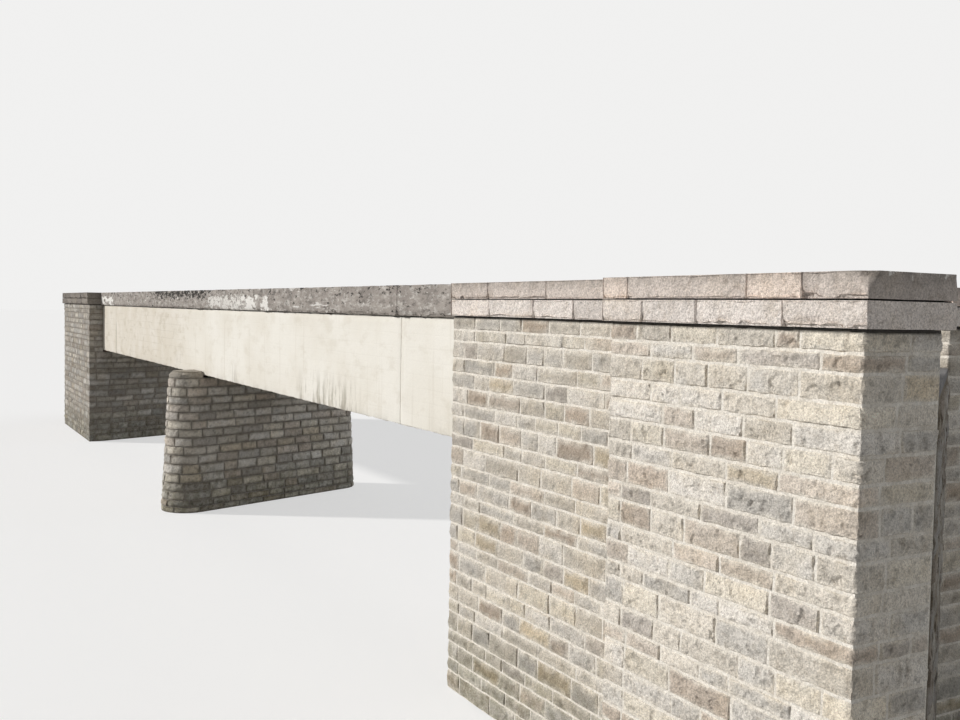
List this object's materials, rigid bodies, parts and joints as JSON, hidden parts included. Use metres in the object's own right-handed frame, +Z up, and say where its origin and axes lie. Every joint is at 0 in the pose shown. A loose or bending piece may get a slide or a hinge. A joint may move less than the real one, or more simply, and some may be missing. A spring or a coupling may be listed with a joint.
{
  "type": "1:2 scale model of a skewed girder road bridge on granite abutments",
  "caption": "Skewed road bridge with deep concrete edge girders, granite abutments with walled end blocks and a round-nosed granite pier; 1:2 scale model.",
  "frame": {"origin": "middle of the bridge on plan, at the foot of the pier and walls", "axes": "+X along the road toward the end with the short block on the front, +Y from the front girder to the back girder, +Z up"},
  "size_m": [29.814, 3.9856, 3.78],
  "materials": {
    "granite": "rock-faced, matt",
    "weathered_granite": "dressed, weathered",
    "core": "rough filling",
    "concrete": "cast, board marked",
    "weathered_concrete": "cast, weathered",
    "road": "rough surfacing",
    "bearing": "cast"
  },
  "bodies": {
    "root": {"right_abutment": "granite", "left_abutment": "granite", "right_core": "core", "left_core": "core", "front_recess_wall": "granite", "front_recess_course": "weathered_granite", "front_recess_coping": "weathered_granite", "front_short_block_wall": "granite", "front_short_block_course": "weathered_granite", "front_short_block_coping": "weathered_granite", "front_long_block_wall": "granite", "front_long_block_course": "weathered_granite", "front_long_block_coping": "weathered_granite", "back_recess_wall": "granite", "back_recess_course": "weathered_granite", "back_recess_coping": "weathered_granite", "back_short_block_wall": "granite", "back_short_block_course": "weathered_granite", "back_short_block_coping": "weathered_granite", "back_long_block_wall": "granite", "back_long_block_course": "weathered_granite", "back_long_block_coping": "weathered_granite", "pier_shaft": "granite", "pier_cap": "granite", "pier_bearings": "bearing", "abutment_bearings": "bearing", "front_girder": "concrete", "front_girder_band": "weathered_concrete", "back_girder": "concrete", "back_girder_band": "weathered_concrete", "deck_slab": "concrete", "cross_beams": "concrete", "bridge_surfacing": "road", "right_approach_surfacing": "road", "left_approach_surfacing": "road"}
  },
  "joints": []
}
